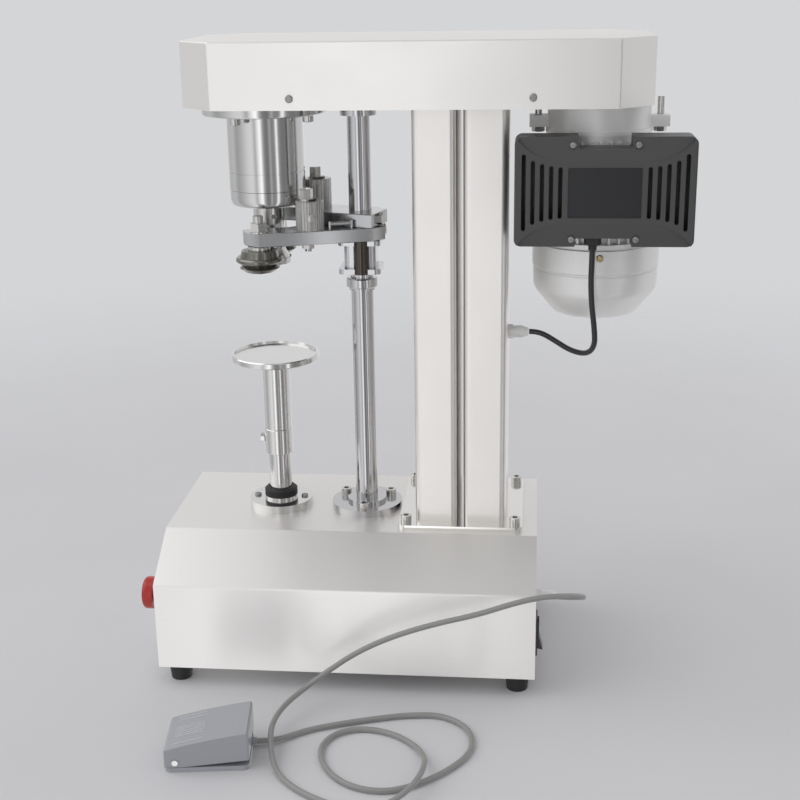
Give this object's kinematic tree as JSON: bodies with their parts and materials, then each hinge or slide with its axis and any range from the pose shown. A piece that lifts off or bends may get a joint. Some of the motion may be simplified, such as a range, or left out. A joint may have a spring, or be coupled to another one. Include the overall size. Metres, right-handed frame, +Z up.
{
  "type": "can seamer",
  "caption": "Bench can seamer: belt-driven spindle and chuck on a column, seaming rollers on swing levers, a lifting can table, emergency stop, and a foot switch on a cable.",
  "frame": {"origin": "middle of the machine's footprint, on the surface that its feet stand on, measured without the pedal and its cable", "axes": "+X along the head from the spindle to the motor, +Y from the sloping front to the back, +Z up"},
  "size_m": [0.645, 0.5145, 0.75],
  "materials": {
    "stainless_sheet": "fine horizontal grain",
    "polished_steel": "turned and polished",
    "ground_shaft": "ground and hard chromed",
    "dark_steel": "burnished dark",
    "zinc_screws": "zinc plated",
    "satin_tube": "satin grain along the tube",
    "polished_plate": "polished, mirror-like",
    "plate_steel": "painted plate",
    "silver_casting": "silver painted casting",
    "motor_iron": "machined laminations",
    "black_abs": "moulded, fine grain",
    "black_rubber": "matt",
    "belt_rubber": "matt wrapped belt",
    "white_nylon": "moulded",
    "red_plastic": "glossy",
    "grey_abs": "moulded, fine grain",
    "grey_cable": "satin sheath"
  },
  "bodies": {
    "frame": {"base_shell": "stainless_sheet", "base_bottom_plate": "stainless_sheet", "rubber_feet": "black_rubber", "inner_plate": "plate_steel", "column_foot_plate": "polished_plate", "column_tubes": "satin_tube", "socket_head_bolts": "zinc_screws", "hex_bolts": "zinc_screws", "panel_screws": "zinc_screws", "head_plate": "plate_steel", "head_cover": "stainless_sheet", "spindle_housing": "polished_steel", "spindle_end_cap": "polished_steel", "spindle_bearings": "polished_steel", "motor_mount": "silver_casting", "motor_body": "silver_casting", "motor_end_cowl": "silver_casting", "drive_belt": "belt_rubber", "control_box_front": "black_abs", "control_box_back": "black_abs", "cable_boot": "black_rubber", "motor_lead": "black_rubber", "cable_glands": "white_nylon", "shaft_foot_flange": "polished_steel", "shaft_top_collar": "polished_steel", "lift_flange": "polished_steel", "lift_seal": "black_rubber", "estop_body": "black_abs", "rocker_body": "black_abs", "power_inlet": "black_abs", "lift_drive": "silver_casting", "pedal_base": "grey_abs", "pedal_pin": "zinc_screws", "pedal_cable": "grey_cable"},
    "spindle": {"spindle_shaft": "polished_steel", "chuck_adapter": "polished_steel", "seaming_chuck": "polished_steel", "spindle_pulley": "polished_steel"},
    "rotor": {"motor_rotor": "motor_iron", "motor_fan": "black_abs", "motor_pulley": "polished_steel"},
    "lever": {"lever_shaft": "ground_shaft", "shaft_collar": "polished_steel", "follower_arm": "plate_steel", "front_lever": "polished_steel", "rear_lever": "polished_steel", "adjuster_drums": "polished_steel", "lever_bolts": "zinc_screws", "lever_spring": "polished_steel", "lever_spool": "polished_steel", "spool_pin": "dark_steel", "roller_pins": "polished_steel"},
    "roller_one": {"first_roller": "dark_steel"},
    "roller_two": {"second_roller": "dark_steel"},
    "lift": {"lift_shaft": "ground_shaft"},
    "sleeve": {"table_sleeve": "polished_steel"},
    "table": {"can_table": "polished_steel"},
    "stop_button": {"estop_button": "red_plastic"},
    "rocker": {"power_rocker": "black_abs"},
    "pedal": {"pedal_cover": "grey_abs"}
  },
  "joints": [
    {"name": "spindle_spin", "type": "hinge", "parent": "frame", "child": "spindle", "pos_m": [-0.1656, 0.02555, 0.6], "axis": [0, 0, 1], "continuous": true},
    {"name": "motor_spin", "type": "hinge", "parent": "frame", "child": "rotor", "pos_m": [0.2215, 0.02555, 0.58], "axis": [0, 0, 1], "continuous": true},
    {"name": "lever_swing", "type": "hinge", "parent": "frame", "child": "lever", "pos_m": [-0.0556, 0.02555, 0.4], "axis": [0, 0, 1], "range_deg": [-1.8, 1.8]},
    {"name": "first_roller_spin", "type": "hinge", "parent": "lever", "child": "roller_one", "pos_m": [-0.1677, -0.03092, 0.5], "axis": [0, 0, 1], "continuous": true},
    {"name": "second_roller_spin", "type": "hinge", "parent": "lever", "child": "roller_two", "pos_m": [-0.1677, 0.08202, 0.5], "axis": [0, 0, 1], "continuous": true},
    {"name": "table_lift", "type": "slide", "parent": "frame", "child": "lift", "axis": [0, 0, 1], "range_m": [0, 0.025]},
    {"name": "table_height", "type": "slide", "parent": "lift", "child": "sleeve", "axis": [0, 0, 1], "range_m": [-0.02, 0.04]},
    {"name": "table_spin", "type": "hinge", "parent": "sleeve", "child": "table", "pos_m": [-0.1656, 0.02555, 0.35], "axis": [0, 0, 1], "continuous": true},
    {"name": "emergency_stop_press", "type": "slide", "parent": "frame", "child": "stop_button", "axis": [1, 0, 0], "range_m": [0, 0.005]},
    {"name": "power_switch_tilt", "type": "hinge", "parent": "frame", "child": "rocker", "pos_m": [0.1584, -0.09545, 0.0646], "axis": [0, 1, 0], "range_deg": [0, 13.5]},
    {"name": "pedal_press", "type": "hinge", "parent": "frame", "child": "pedal", "pos_m": [-0.22709, -0.31949, 0.012], "axis": [-0.1219, 0.9925, 0], "range_deg": [0, 4], "stiffness_Nm_per_rad": 6, "springref_deg": -8.59}
  ],
  "couplings": [
    {"joint": "motor_spin", "follows": "spindle_spin", "ratio": 2}
  ]
}
